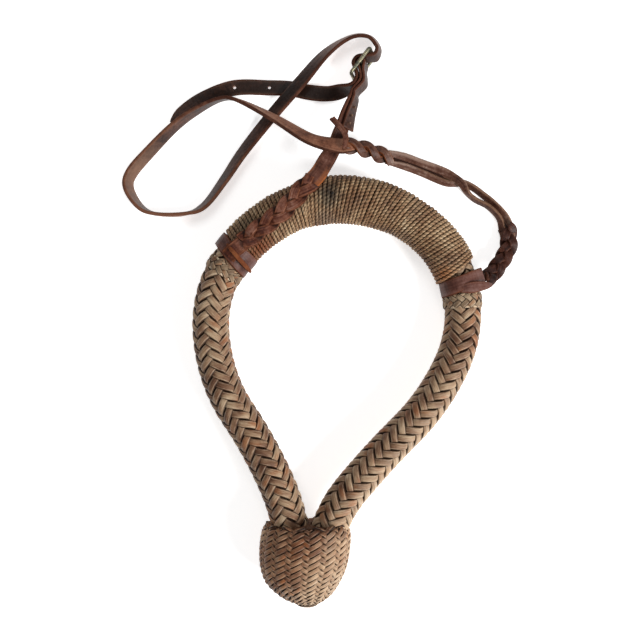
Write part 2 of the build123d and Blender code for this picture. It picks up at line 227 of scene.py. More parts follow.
class Knot:
    """The heel knot's outside, as oval sections along a line from its rim to its tip."""

    def __init__(self, sections):
        rows = through(sections, 10) * MM
        self.rows = rows
        self.s = arc_length(rows[:, [0, 2]])

    def point(self, s, angle, lift=0.0):
        y, x, wide, deep = (np.interp(s, self.s, self.rows[:, i]) for i in range(4))
        return np.column_stack((
            x + (wide + lift) * np.cos(angle),
            y,
            KNOT_MIDDLE_Z * MM + (deep + lift) * np.sin(angle),
        ))

    def place(self, s, angle, lift):
        """Points on the outside, the way out of it, and how wide a strand is there."""
        ds, da = 0.3 * MM, 0.01
        across = self.point(s, angle + da) - self.point(s, angle - da)
        down = self.point(s + ds, angle) - self.point(s - ds, angle)
        out = unit(np.cross(across, down))
        wide = np.interp(s, self.s, self.rows[:, 2])
        scale = np.clip(wide / self.rows[:, 2].max(), 0.12, 1)
        return self.point(s, angle) + out * np.reshape(lift, (-1, 1)), out, scale


# ---- Meshes ----

def put_in_scene(name, data):
    """A new object that shows the given data."""
    made = bpy.data.objects.new(name, data)
    bpy.context.scene.collection.objects.link(made)
    return made


def new_mesh(name, points, faces):
    mesh = bpy.data.meshes.new(name)
    mesh.from_pydata(points, [], faces)
    return mesh


class Pile:
    """Swept strands that become one mesh, with the numbers that the materials read.

    tone is the strand's own shade, across runs from -1 to 1 over its width, along is its length
    in metres, and tuck is 1 where it lies deepest under its neighbours, where the materials paint shade.
    """

    def __init__(self):
        self.points = []
        self.faces = []
        self.slots = []
        self.numbers = {"tone": [], "across": [], "along": [], "tuck": []}
        self.count = 0

    def sweep(self, at, out, profile, tone=0.5, scale=1.0, slots=None, tuck=0.0):
        """A strand along the points, its profile's second axis towards out."""
        n = len(at)
        profile = np.broadcast_to(profile, (n, *np.shape(profile)[-2:]))
        m = profile.shape[1]
        along = unit(np.gradient(at, axis=0))
        wide = unit(np.cross(out, along))
        deep = np.cross(along, wide)
        scale = np.broadcast_to(scale, (n,))[:, None]
        ring = (
            at[:, None]
            + wide[:, None] * (profile[..., 0] * scale)[..., None]
            + deep[:, None] * (profile[..., 1] * scale)[..., None]
        )
        i, j = np.meshgrid(np.arange(n - 1), np.arange(m), indexing="ij")
        k = (j + 1) % m
        quads = np.stack((i * m + j, i * m + k, (i + 1) * m + k, (i + 1) * m + j), -1)
        self.faces += (quads.reshape(-1, 4) + self.count).tolist()
        self.faces.append([self.count + c for c in reversed(range(m))])
        self.faces.append([self.count + (n - 1) * m + c for c in range(m)])
        slots = slots or [0] * m
        self.slots += slots * (n - 1) + [max(slots)] * 2
        self.points.append(ring.reshape(-1, 3))
        half = np.abs(profile[..., 0]).max(axis=1, keepdims=True)
        numbers = (tone, profile[..., 0] / half, arc_length(at)[:, None], tuck)
        for values, number in zip(self.numbers.values(), numbers):
            values.append(np.broadcast_to(number, (n, m)).ravel())
        self.count += n * m

    def piece(self, name, materials, body, slot, replaces=None, bend=None, holes=()):
        """The finished mesh, riding on a body; or, when the bend's two ends are given, baked where it
        stands and riding on none, but not bent by them.

        It takes the place of the CAD nodes that replaces lists, or else of its namesake.
        """
        mesh = new_mesh(name, np.vstack(self.points).tolist(), self.faces)
        for key, values in self.numbers.items():
            layer = mesh.attributes.new(key, "FLOAT", "POINT")
            layer.data.foreach_set("value", np.concatenate(values).astype(np.float32))
        for material in materials:
            mesh.materials.append(material)
        mesh.polygons.foreach_set("material_index", self.slots)
        mesh.shade_smooth()
        mesh.update()
        piece = put_in_scene(name, mesh)
        if holes:
            pierce(piece, holes)
        if bend:
            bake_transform(piece)
        else:
            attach(piece, body)
        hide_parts(*(replaces or [name]))


HOLE_SIDE = unit(np.array((-0.5, 0.3, 0.0)))     # any way across an upright hole


def pierce(piece, spots):
    """Cuts upright round holes through a piece, at places in millimetres."""
    pile = Pile()
    reach = UP * HOLE_DEPTH / 2
    for spot in spots:
        at = np.array([spot - reach, spot + reach]) * MM
        pile.sweep(at, np.array([HOLE_SIDE] * 2), oval((2 * HOLE_R, 2 * HOLE_R), 16, 1.0))
    cutter = put_in_scene("cutter", new_mesh("cutter", np.vstack(pile.points).tolist(), pile.faces))
    cut = piece.modifiers.new("holes", "BOOLEAN")
    cut.operation = "DIFFERENCE"
    cut.solver = "EXACT"
    cut.object = cutter
    bpy.context.view_layer.update()
    pierced = bpy.data.meshes.new_from_object(piece.evaluated_get(bpy.context.evaluated_depsgraph_get()))
    piece.modifiers.clear()
    piece.data = pierced
    bpy.data.objects.remove(cutter)


def oval(size, count=10, power=0.8):
    """A rounded strand's profile, anticlockwise; size is its width and thickness."""
    width, thick = size[0] * MM, size[1] * MM
    a = (np.arange(count) + 0.5) * 2 * math.pi / count
    c, s = np.cos(a), np.sin(a)
    return np.column_stack((
        width / 2 * np.sign(c) * np.abs(c) ** power,
        thick / 2 * np.sign(s) * np.abs(s) ** power,
    ))


# One rounded edge of a strap, in half widths and thicknesses from its middle.
STRAP_EDGE = [(1, 0), (0.995, 0.28), (0.95, 0.44), (0.86, 0.5), (0.6, 0.53), (0.25, 0.55)]
STRAP_SIDES = STRAP_EDGE + [(-u, v) for u, v in reversed(STRAP_EDGE)]
STRAP_PROFILE = np.array(STRAP_SIDES + [(u, -v) for u, v in reversed(STRAP_SIDES[1:-1])])
GRAIN, FLESH, EDGE, ORANGE = 0, 1, 2, 3


def strap_slots():
    """Which side of the leather each stretch of the strap's profile shows."""
    ring = np.vstack([STRAP_PROFILE, STRAP_PROFILE[:1]])
    middle = (ring[1:] + ring[:-1]) / 2
    return [EDGE if abs(u) > 0.9 else (GRAIN if v > 0 else FLESH) for u, v in middle]


def with_turns(points, width, thick):
    """Route rows with the strap's sideways direction in place of its roll."""
    at = np.array([p[:3] for p in points], float)
    along = unit(np.gradient(at, axis=0))
    side = unit(np.cross(UP, along))
    up = np.cross(along, side)
    roll = np.radians([p[3] for p in points])[:, None]
    wide = side * np.cos(roll) + up * np.sin(roll)
    return [(*a, *w, width, thick) for a, w in zip(at, wide)]


def resized(row, width, thick):
    """A route row with another width and thickness."""
    return (*row[:6], width, thick)


def in_buckle(side_view, width, thick):
    """Route rows of a strap that lies across the buckle, from its side view."""
    lean = math.radians(BUCKLE_LEAN)
    x_dir = np.array((*BUCKLE_DIRECTION, 0.0))
    z_dir = np.array((
        BUCKLE_DIRECTION[1] * math.cos(lean), -BUCKLE_DIRECTION[0] * math.cos(lean), -math.sin(lean)
    ))
    y_dir = np.cross(z_dir, x_dir)
    return [
        (*(np.array(BUCKLE_CENTRE) + x_dir * u + z_dir * w), *y_dir, width, thick)
        for u, w in side_view
    ]


class Strap:
    """A strap's line with its directions and sizes, in metres."""

    def __init__(self, rows, steps=12):
        line = through(rows, steps)
        self.at = line[:, :3] * MM
        self.along = unit(np.gradient(self.at, axis=0))
        wide = unit(line[:, 3:6])
        self.deep = unit(np.cross(self.along, wide))
        self.wide = np.cross(self.deep, self.along)
        self.width = line[:, 6] * MM
        self.thick = line[:, 7] * MM
        self.s = arc_length(self.at)

    def put(self, pile, tone=0.5, slot=None):
        """Adds the strap to the pile; slot, if given, is the material of all its sides."""
        n = len(self.at)
        width = self.width / 2 * (1 + wander(n, 9, 0.012))
        profile = STRAP_PROFILE * np.stack((width, self.thick), -1)[:, None]
        slots = strap_slots() if slot is None else [slot] * len(STRAP_PROFILE)
        pile.sweep(self.at, self.deep, profile, tone, slots=slots)


# ---- Materials ----

class Shader:
    """A material under construction, with short ways to add nodes."""

    def __init__(self, name):
        self.material = bpy.data.materials.new(name)
        self.material.use_nodes = True
        self.tree = self.material.node_tree
        self.surface = self.tree.nodes["Principled BSDF"]

    def node(self, kind, inputs=None, **settings):
        made = self.tree.nodes.new(kind)
        for key, value in settings.items():
            setattr(made, key, value)
        for key, value in (inputs or {}).items():
            self.feed(made.inputs[key], value)
        return made

    def feed(self, socket, value):
        """Links another socket to this one, or gives it a plain value."""
        if isinstance(value, bpy.types.NodeSocket):
            self.tree.links.new(value, socket)
        else:
            socket.default_value = value

    def number(self, name):
        """One of the numbers that the mesh carries."""
        return self.node("ShaderNodeAttribute", attribute_name=name).outputs["Fac"]

    def place(self):
        return self.node("ShaderNodeTexCoord").outputs["Object"]

    def vector(self, operation, a, b=(0, 0, 0)):
        return self.node("ShaderNodeVectorMath", {0: a, 1: b}, operation=operation)

    def offset(self, centre):
        """The way here from a place in millimetres."""
        return self.vector("SUBTRACT", self.place(), [c * MM for c in centre]).outputs["Vector"]

    def streaks(self, along, across, detail, roughness, apart=60.0):
        """Noise of those scales along and across each strand, different on the next one."""
        place = self.node("ShaderNodeCombineXYZ", {
            "X": self.times(self.number("along"), along),
            "Y": self.times(self.number("across"), across),
            "Z": self.times(self.number("tone"), apart),
        }).outputs["Vector"]
        return self.noise(1.0, detail, roughness, place)

    def near(self, centre, radii):
        """1 at a place, fading with a ragged edge to 0 at the radii round it, in millimetres."""
        share = self.vector("MULTIPLY", self.offset(centre), [1 / (r * MM) for r in radii])
        gap = self.vector("LENGTH", share.outputs["Vector"]).outputs["Value"]
        gap = self.plus(gap, self.math("SUBTRACT", self.noise(240, 3, 0.6), 0.5))
        return self.math("SUBTRACT", 1.0, gap, clamp=True)

    def spread(self, value, size):
        """A noise's distance from its middle, at the given size."""
        return self.times(self.math("SUBTRACT", value, 0.5), size)

    def times(self, a, b, clamp=False):
        return self.math("MULTIPLY", a, b, clamp)

    def plus(self, a, b, clamp=False):
        return self.math("ADD", a, b, clamp)

    def past(self, value, start, slope):
        """0 up to the start, then rising at that slope to 1."""
        return self.times(self.math("SUBTRACT", value, start), slope, clamp=True)

    def tint(self, colour, other, share, strength=1.0):
        """The colour turned towards another one, by a share times a strength."""
        return self.mix(self.times(share, strength, clamp=True), colour, other)

    def add_stains_and_painted_light(self, colour, stains_and_painted_light):
        """The colour with patches, each given by its centre, radii, colour and strength: stains, and some
        painted highlights and painted shadows.
        """
        for centre, radii, patch_colour, strength in stains_and_painted_light:
            colour = self.tint(colour, patch_colour, self.near(centre, radii), strength)
        return colour

    def total(self, *values):
        """The values' sum, held between 0 and 1."""
        whole = values[0]
        for value in values[1:]:
            whole = self.plus(whole, value)
        return self.plus(whole, 0.0, clamp=True)

    def noise(self, scale, detail=4.0, roughness=0.6, at=None):
        return self.node("ShaderNodeTexNoise", {
            "Vector": at or self.place(), "Scale": scale, "Detail": detail, "Roughness": roughness,
        }).outputs["Fac"]

    def math(self, operation, a, b=0.0, clamp=False):
        return self.node(
            "ShaderNodeMath", {0: a, 1: b}, operation=operation, use_clamp=clamp
        ).outputs["Value"]

    def ramp(self, fac, stops):
        """A colour ramp through (place, colour) stops."""
        made = self.node("ShaderNodeValToRGB", {"Fac": fac})
        ramp = made.color_ramp
        while len(ramp.elements) < len(stops):
            ramp.elements.new(0.5)
        for element, (place, colour) in zip(ramp.elements, stops):
            element.position = place
            element.color = linear(colour)
        return made.outputs["Color"]

    def mix(self, fac, a, b):
        """Colour a where fac is 0 and b where it is 1; b may be an sRGB colour."""
        made = self.node("ShaderNodeMix", data_type="RGBA")
        sides = [socket for socket in made.inputs if socket.type == "RGBA"]
        self.feed(made.inputs["Factor"], fac)
        self.feed(sides[0], a)
        self.feed(sides[1], b if isinstance(b, bpy.types.NodeSocket) else linear(b))
        return next(socket for socket in made.outputs if socket.type == "RGBA")

    def bump(self, height, distance, strength=1.0, below=None):
        inputs = {"Height": height, "Distance": distance, "Strength": strength}
        if below:
            inputs["Normal"] = below
        return self.node("ShaderNodeBump", inputs).outputs["Normal"]

    def finish(self, colour, roughness, normal=None, **values):
        """The material, with any other of its surface's values under their names."""
        if normal:
            values["Normal"] = normal
        for key, value in {"Base Color": colour, "Roughness": roughness, **values}.items():
            self.feed(self.surface.inputs[key.replace("_", " ")], value)
        return self.material


def linear(colour):
    """Linear values, with a full alpha, of an sRGB colour given from 0 to 255."""
    return [c / 255 / 12.92 if c <= 10.3 else ((c / 255 + 0.055) / 1.055) ** 2.4 for c in colour] + [1]


WALL_START = 0.72           # of a strand's half width, where its side wall begins
WORN_RIM_AT = 0.66          # and where its rim is rubbed pale


def gap_shade(m, depth, slope):
    """1 on a strand's side walls, and where it is tucked deeper than that under its neighbours: the places
    where the rawhide's shade is painted.
    """
    wall = m.past(m.math("ABSOLUTE", m.number("across")), WALL_START, 5.0)
    return m.math("MAXIMUM", wall, m.past(m.number("tuck"), depth, slope))


def rawhide(name, stops, cream_and_highlight=None):
    """Braided rawhide: strands streaked lengthways, some stained, with painted shade on their side walls
    and where they're tucked in.

    A place may be given where the piece is half turned to cream, and the direction that it turns in: partly
    the rawhide's own paler tone, partly a painted highlight on the side that faces the key light.
    """
    m = Shader(name)
    patch = m.noise(32, 2, 0.5)
    own = m.streaks(70.0, 0.3, 1, 0.5)
    streak = m.streaks(210.0, 3.5, 4, 0.65)
    specks = m.noise(1300, 3, 0.7)
    colour = m.ramp(
        m.total(m.spread(own, 1.0), m.spread(streak, 0.75), m.spread(patch, 0.8), 0.5), stops
    )
    colour = m.tint(colour, (150, 88, 46), m.past(m.streaks(60.0, 0.3, 1, 0.5, 110.0), 0.56, 7.0), 0.6)
    from_rim = m.math("SUBTRACT", m.math("ABSOLUTE", m.number("across")), WORN_RIM_AT)
    rim = m.math("SUBTRACT", 1.0, m.times(m.math("ABSOLUTE", from_rim), 6.0), clamp=True)
    worn = m.times(rim, m.plus(m.spread(streak, 2.6), 0.35), clamp=True)
    colour = m.tint(colour, (205, 184, 158), worn, 0.7)
    # Painted shade, near black, on the strands' side walls and where they lie under their neighbours.
    colour = m.tint(colour, (28, 14, 7), gap_shade(m, 0.3, 2.6), 0.93)
    colour = m.tint(colour, (52, 30, 18), m.past(specks, 0.58, 5.0), 0.55)
    # Turned cream towards one side: partly the rawhide's own tone, partly a painted highlight, with painted
    # shade kept in its gaps.
    if cream_and_highlight:
        middle, direction = cream_and_highlight
        share = m.vector("DOT_PRODUCT", m.offset(middle), [c / MM for c in direction]).outputs["Value"]
        share = m.total(share, m.spread(m.noise(70, 3, 0.6), 0.8), 0.5)
        bright = m.ramp(m.streaks(120.0, 2.5, 4, 0.65), [
            (0.25, (104, 72, 48)), (0.45, (178, 150, 120)), (0.6, (206, 186, 160)), (0.75, (226, 214, 196)),
        ])
        bright = m.tint(bright, (44, 26, 14), gap_shade(m, 0.35, 2.4), 0.85)
        colour = m.mix(share, colour, bright)
    height = m.total(m.spread(streak, 0.8), m.spread(specks, 0.5), 0.5)
    rough = m.plus(m.times(streak, 0.35), 0.3, clamp=True)
    return m.finish(colour, rough, m.bump(height, 0.0007, 0.7), Specular_IOR_Level=0.18)


def cord_material(name):
    """Twisted rawhide cord, golden and olive brown by turns, with painted shade in its grooves, and old
    stains.
    """
    m = Shader(name)
    patch = m.noise(34, 3, 0.55)
    fine = m.noise(1300, 4, 0.7)
    length = m.streaks(150.0, 1.2, 3, 0.6)
    mixed = m.total(m.spread(patch, 0.9), m.spread(fine, 0.75), m.spread(length, 1.0), 0.53)
    golden = m.ramp(mixed, [
        (0.0, (52, 28, 15)), (0.25, (98, 64, 42)), (0.45, (136, 102, 74)), (0.65, (174, 144, 110)),
        (0.85, (206, 184, 152)), (1.0, (224, 208, 182)),
    ])
    olive = m.ramp(mixed, [
        (0.0, (42, 25, 16)), (0.3, (86, 60, 44)), (0.5, (122, 94, 73)), (0.75, (162, 136, 110)),
        (1.0, (194, 172, 146)),
    ])
    colour = m.mix(m.past(m.noise(60, 3, 0.6), 0.5, 5.0), golden, olive)
    colour = m.add_stains_and_painted_light(colour, [
        ((8, 92, 52), (15, 17, 34), (40, 38, 36), 1.52),
        ((6, 70, 50), (17, 12, 30), (96, 96, 92), 0.88),
        ((-44, 52, 34), (16, 15, 30), (120, 66, 38), 1.2),
        ((-52, 66, 34), (14, 14, 30), (66, 54, 38), 0.96),
        ((95, 30, 30), (14, 12, 30), (168, 104, 60), 0.72),
    ])
    # Painted shade in the grooves between the plies and along the cord's sides, where the turns meet.
    colour = m.tint(colour, (30, 18, 10), m.past(m.number("tuck"), 0.25, 1.8), 0.8)
    rough = m.plus(m.times(fine, 0.25), 0.45, clamp=True)
    normal = m.bump(m.total(m.spread(fine, 0.6), m.spread(length, 0.6), 0.5), 0.0006, 0.8)
    return m.finish(colour, rough, normal, Specular_IOR_Level=0.15)


def leather(name, stops, worn, gloss=0.42, stains_and_painted_light=(), bare_side_and_highlight=None):
    """Strap leather: fine grain, creases across it with painted shade in them, scuffs, paler worn rims, and
    painted shade where it lies tucked under other strands.

    A place may be given where one side of the strap, 1 or -1, turns another colour: on the cheek a side
    that has lost its finish, on the right cheek's wide strand a painted highlight.
    """
    m = Shader(name)
    grain = m.node(
        "ShaderNodeTexVoronoi", {"Vector": m.place(), "Scale": 1500.0}, feature="SMOOTH_F1",
    ).outputs["Distance"]
    patch = m.noise(40, 4, 0.6)
    scuff = m.noise(300, 5, 0.7)
    streak = m.streaks(28.0, 3.0, 4, 0.6)
    crease = m.streaks(520.0, 0.8, 3, 0.6)
    own = m.streaks(55.0, 0.3, 1, 0.5)
    mixed = m.total(
        m.spread(patch, 0.9), m.spread(scuff, 0.8), m.spread(streak, 0.8), m.spread(crease, 0.3),
        m.spread(own, 0.6), 0.5,
    )
    colour = m.add_stains_and_painted_light(m.ramp(mixed, stops), stains_and_painted_light)
    across = m.math("ABSOLUTE", m.number("across"))
    rub = m.times(m.math("POWER", across, 6.0), m.plus(scuff, 0.05), clamp=True)
    colour = m.tint(colour, worn, rub)
    # One side turned another colour at a place: a side that has lost its finish, and on the wide strand a
    # painted highlight.
    if bare_side_and_highlight:
        centre, radii, shade, side = bare_side_and_highlight
        half = m.past(m.times(m.number("across"), side), 0.3, 4.0)
        there = m.times(m.near(centre, radii), 3.0, clamp=True)
        colour = m.tint(colour, shade, m.times(half, there), 0.7)
    # Painted shade in the creases.
    colour = m.tint(colour, (24, 12, 8), m.past(crease, 0.6, 6.0), 0.4)
    # Painted shade where a strand lies tucked under another.
    colour = m.tint(colour, (22, 9, 6), m.past(m.number("tuck"), 0.45, 2.4), 0.85)
    normal = m.bump(grain, 0.00022, 0.55)
    normal = m.bump(m.total(m.spread(crease, 1.0), m.spread(streak, 0.4), 0.5), 0.0007, 0.5, below=normal)
    rough = m.plus(m.times(scuff, 0.35), gloss - 0.14, clamp=True)
    return m.finish(colour, rough, normal, Specular_IOR_Level=0.2)


def suede(name, stops, stains_and_painted_light=()):
    """The leather's cut edge: matt, with short fibres."""
    m = Shader(name)
    fibre = m.noise(1900, 4, 0.7)
    patch = m.noise(90, 3, 0.5)
    mixed = m.plus(m.times(fibre, 0.5), m.times(patch, 0.6))
    mixed = m.math("SUBTRACT", mixed, 0.05, clamp=True)
    colour = m.add_stains_and_painted_light(m.ramp(mixed, stops), stains_and_painted_light)
    return m.finish(colour, 0.8, m.bump(fibre, 0.0006, 0.8), Specular_IOR_Level=0.1)


def old_brass(name):
    """Dulled brass: bright where it is rubbed, grey-green patina in the rest."""
    m = Shader(name)
    patch = m.noise(160, 5, 0.7)
    fine = m.noise(1300, 3, 0.6)
    mixed = m.plus(m.times(patch, 0.8), m.times(fine, 0.3), clamp=True)
    colour = m.ramp(mixed, [
        (0.35, (44, 42, 36)), (0.5, (92, 92, 80)), (0.62, (128, 122, 98)), (0.8, (190, 178, 148)),
    ])
    rough = m.math("SUBTRACT", 0.75, m.times(patch, 0.6), clamp=True)
    return m.finish(colour, rough, m.bump(fine, 0.0002, 0.5), Metallic=0.85)


TAN = [
    (0.0, (58, 34, 20)), (0.25, (92, 62, 44)), (0.42, (120, 90, 68)), (0.58, (146, 118, 92)),
    (0.75, (172, 148, 120)), (1.0, (200, 180, 154)),
]
RED_BROWN = [
    (0.0, (60, 32, 20)), (0.25, (92, 58, 40)), (0.45, (122, 84, 60)), (0.65, (150, 114, 86)),
    (0.85, (180, 148, 118)), (1.0, (202, 176, 148)),
]
CREAM = [
    (0.0, (104, 72, 48)), (0.3, (148, 116, 86)), (0.5, (178, 150, 120)), (0.75, (206, 186, 160)),
    (1.0, (226, 214, 196)),
]
GREY_TAN = [
    (0.0, (60, 42, 30)), (0.3, (94, 72, 54)), (0.5, (122, 100, 78)), (0.7, (150, 128, 102)),
    (1.0, (186, 166, 140)),
]


left_rawhide = rawhide("left_shank_rawhide", TAN)
# The right shank and the heel knot turn cream towards the lower right, where the key light falls: partly
# their own tone, partly painted highlight.
right_rawhide = rawhide("right_shank_rawhide", TAN, ((76, -88, 30), (0.022, -0.022, -0.03)))
knot_rawhide = rawhide("heel_knot_rawhide", RED_BROWN, ((4, -203, 27), (0.014, -0.013, 0.0)))
collar_rawhide = rawhide("collar_rawhide", GREY_TAN)
rim_rawhide = rawhide("collar_rim_rawhide", CREAM)
# Near black: the core and the nose braid show only in the gaps between the strands, and stand for the shade
# there.
inner_rawhide_in_shade = suede("inner_rawhide_in_shade", [(0.2, (16, 8, 4)), (1.0, (58, 34, 22))])
filling_rawhide = suede("filling_rawhide", [
    (0.2, (40, 22, 13)), (0.6, (92, 62, 42)), (1.0, (134, 100, 72)),
])
wrap_cord = cord_material("wrap_cord")
# Its patches, in order: darker along the tail, darker beside the buckle, lighter round the top bend, and a
# painted highlight on the inner face of the left loop.
dark_leather = leather("dark_leather", [
    (0.2, (30, 15, 11)), (0.5, (62, 37, 28)), (0.75, (88, 57, 44)), (1.0, (120, 88, 72)),
], (122, 90, 72), stains_and_painted_light=[
    ((-30, 176, 3), (105, 24, 30), (30, 16, 10), 1.44), ((36, 196, 8), (18, 20, 30), (44, 24, 18), 0.9),
    ((26, 219, 9), (36, 15, 30), (112, 74, 58), 1.08),
    ((-142, 112, 8), (26, 40, 30), (118, 88, 70), 0.9),
])
red_leather = leather("reddish_leather", [
    (0.2, (84, 46, 31)), (0.5, (130, 84, 62)), (0.75, (154, 110, 86)), (1.0, (182, 142, 118)),
], (160, 124, 100), 0.48)
# Its patches: darker on the upper cheek, and a painted shadow where the cheek strap leaves the slit braid.
cheek_leather = leather("cheek_leather", [
    (0.15, (34, 15, 10)), (0.4, (62, 34, 25)), (0.6, (86, 52, 41)), (0.8, (112, 78, 66)),
    (1.0, (142, 110, 98)),
], (140, 98, 72), stains_and_painted_light=[
    ((18, 150, 20), (16, 26, 30), (62, 32, 24), 1.26), ((-16, 90, 42), (8, 10, 20), (20, 8, 6), 1.08),
], bare_side_and_highlight=((-6, 98, 40), (24, 26, 24), (132, 76, 44), -1.0))
braid_leather = leather("braid_leather", [
    (0.15, (34, 13, 8)), (0.38, (72, 34, 22)), (0.55, (104, 62, 46)), (0.75, (130, 94, 80)),
    (1.0, (154, 122, 108)),
], (176, 108, 60))
loop_leather = leather("loop_leather", [
    (0.2, (54, 26, 20)), (0.5, (86, 52, 43)), (0.75, (106, 74, 66)), (1.0, (130, 100, 90)),
], (140, 88, 60))
black_leather = leather("right_braid_leather", [
    (0.2, (16, 6, 4)), (0.5, (46, 21, 14)), (0.75, (74, 41, 30)), (1.0, (108, 72, 56)),
], (104, 62, 44))
# The place given last here is a painted highlight on the upper half of the wide strand.
strand_leather = leather("strand_leather", [
    (0.15, (40, 18, 12)), (0.4, (72, 42, 30)), (0.6, (94, 64, 52)), (0.8, (126, 102, 90)),
    (1.0, (160, 142, 132)),
], (140, 108, 86), bare_side_and_highlight=((78, 125, 12), (38, 10, 22), (134, 108, 95), 1.0))
dark_edge = suede("dark_edge", [
    (0.2, (30, 14, 9)), (0.5, (70, 40, 29)), (0.8, (102, 65, 49)), (1.0, (136, 94, 74)),
], [((-112, 104, 8), (60, 72, 60), (112, 74, 56), 2.5)])
cut_edge = suede("cut_edge", [
    (0.2, (52, 24, 14)), (0.5, (90, 50, 34)), (0.8, (128, 82, 58)), (1.0, (160, 118, 90)),
])
cheek_edge = suede("cheek_edge", [
    (0.2, (40, 18, 12)), (0.5, (86, 50, 37)), (0.8, (120, 80, 62)), (1.0, (150, 112, 90)),
], [((-4, 104, 38), (20, 18, 14), (150, 84, 44), 2.5)])
# Near black, for the strip that stands for the shadow in the slit between the right cheek's strands.
slit_shadow_leather = suede("slit_shadow_leather", [(0.2, (18, 8, 5)), (0.6, (46, 24, 17)), (1.0, (84, 52, 40))])
orange_edge = suede("orange_edge", [
    (0.25, (66, 30, 14)), (0.45, (104, 56, 32)), (0.65, (136, 82, 50)), (0.85, (168, 116, 78)),
    (1.0, (190, 146, 108)),
])
lace_leather = suede("lace_leather", [
    (0.2, (66, 46, 36)), (0.5, (104, 80, 66)), (0.8, (142, 116, 100)), (1.0, (172, 150, 132)),
])
brass = old_brass("old_brass")

# ---- The noseband ----

tube = Tube(quadratic(NOSEBAND_RUNS))
wrap_left, wrap_right = tube.near(WRAP_LEFT_END), tube.near(WRAP_RIGHT_END)
top_left, top_right = tube.near(WRAP_TOP_LEFT), tube.near(WRAP_TOP_RIGHT)

BRAID_STRANDS = 8           # each way round
BRAID_ANGLE = 49.5          # degrees from the line
BRAID_MIDDLE_R = 11.4
BRAID_LIFT = 1.3            # out and in of the middle, over and under
BRAID_STRAND = (6.1, 3.4)   # width and thickness
SOFTNESS = 0.5              # of a crossing, in which a strand goes from over to under
LEFT_TURN = 1.13            # how far round the first strand starts, in radians
RIGHT_TURN = 0.84


def over_under(turn, over, under):
    """1 where a strand runs over its neighbours, -1 where it runs under; turn is in crossings."""
    place = np.mod(turn, over + under)
    inside = np.where(
        place < over,
        np.minimum(place, over - place),
        -np.minimum(place - over, over + under - place),
    )
    return np.sin(np.clip(inside / SOFTNESS, -1, 1) * math.pi / 2)


def weave(pile, place, start, end, strands, slope, over, under, size, lift, phase=0.0, step=1.5):
    """Strands both ways round a surface, over and under in columns along it."""
    crossing = math.pi / strands
    s = np.linspace(start, end, int((end - start) / (step * MM)) + 2)
    profile = oval(size, 12, 0.84)
    for hand in (1, -1):
        for k in range(strands):
            angle = phase + 2 * crossing * k + hand * (s - start) * slope
            wave = over_under((angle - phase) / crossing + 0.5, over, under) * hand
            at, out, scale = place(s, angle, lift * wave * MM)
            pile.sweep(at, out, profile, rng.random(), scale, tuck=(0.5 - 0.5 * wave)[:, None])


def shank_place(s, angle, lift):
    at, out = tube.round(s, angle, BRAID_MIDDLE_R * MM + lift)
    return at, out, 1.0


def make_shank(name, start, end, phase, material):
    """One braided shank from the heel knot to the nose wrap."""
    pile = Pile()
    slope = math.tan(math.radians(BRAID_ANGLE)) / ((BRAID_MIDDLE_R + 1) * MM)
    weave(pile, shank_place, start, end, BRAID_STRANDS, slope, 2, 2, BRAID_STRAND, BRAID_LIFT, phase)
    pile.piece(name, [material], "noseband", "rawhide_braid")


HIDDEN_IN_KNOT = 12 * MM
UNDER_WRAP = 6 * MM
make_shank("left_shank_braid", HIDDEN_IN_KNOT, wrap_left + UNDER_WRAP, LEFT_TURN, left_rawhide)
make_shank(
    "right_shank_braid", wrap_right - UNDER_WRAP, tube.s[-1] - HIDDEN_IN_KNOT, RIGHT_TURN, right_rawhide
)

CORD_PITCH = 3.1            # from turn to turn
CORD_R = 1.62
CORD_LAY = 6.2              # of one full twist
CORD_STEP = 0.95            # from section to section
CORD_SIDES = 12
CORD_WANDER = 0.14


def wind(pile, start, end, radii, tilts):
    """Twisted two-ply cord wound round the noseband, with radii and tilts from start to end."""
    turns = (end - start) / (CORD_PITCH * MM)
    count = int(turns * 2 * math.pi * max(radii) / CORD_STEP)
    angle = np.linspace(0, turns * 2 * math.pi, count)
    per_turn = int(count / turns)
    share = np.linspace(0, 1, count)
    s = start + (end - start) * share + wander(count, per_turn // 2, CORD_WANDER) * MM
    s = s + np.interp(share, np.linspace(0, 1, len(tilts)), tilts) * MM * np.cos(angle)
    radius = np.interp(share, np.linspace(0, 1, len(radii)), radii)
    at, out = tube.round(s, angle, (radius + wander(count, per_turn // 3, CORD_WANDER)) * MM)
    pitch = np.linalg.norm(at[per_turn:] - at[:-per_turn], axis=1)
    pitch = np.concatenate((pitch, np.full(per_turn, pitch[-1])))
    ply = arc_length(at)[:, None] * 2 * math.pi / (CORD_LAY * MM)
    a = (np.arange(CORD_SIDES) * 2 * math.pi / CORD_SIDES)[None]
    wave = np.cos(2 * (a - ply))
    r = CORD_R * MM * (0.88 + 0.15 * wave)
    wide = np.clip(1.03 * pitch / (CORD_PITCH * MM), 0.9, 1.45)[:, None]
    profile = np.stack((r * np.cos(a) * wide, r * np.sin(a)), -1)
    # How deep each point lies in a groove, between the plies and against the next turns; the cord's
    # material paints shade there.
    groove = np.maximum(0.95 * np.abs(np.cos(a)) ** 3, 0.36 - 0.36 * wave)
    pile.sweep(at, out, profile, rng.random(), tuck=groove)


def make_wrap(name, *stretches):
    pile = Pile()
    for stretch in stretches:
        wind(pile, *stretch)
    pile.piece(name, [wrap_cord], "noseband", "cord")


WRAP_OVERLAP = 9 * MM
make_wrap(
    "nose_wrap_base",
    (wrap_left, top_left + WRAP_OVERLAP, (15.6, 16.1, 16.1), (-3.0, -1.2, 0.0)),
    (top_right - WRAP_OVERLAP, wrap_right + 1.5 * MM, (16.1, 16.1, 15.9), (-3.8, -3.6, -2.2, 5.5)),
)
make_wrap(
    "nose_wrap_top",
    (top_left, top_right, (16.4, 17.3, 17.5, 17.5, 17.4, 17.1, 16.3), (-2.4, -2.8, -3.2, -3.8)),
)

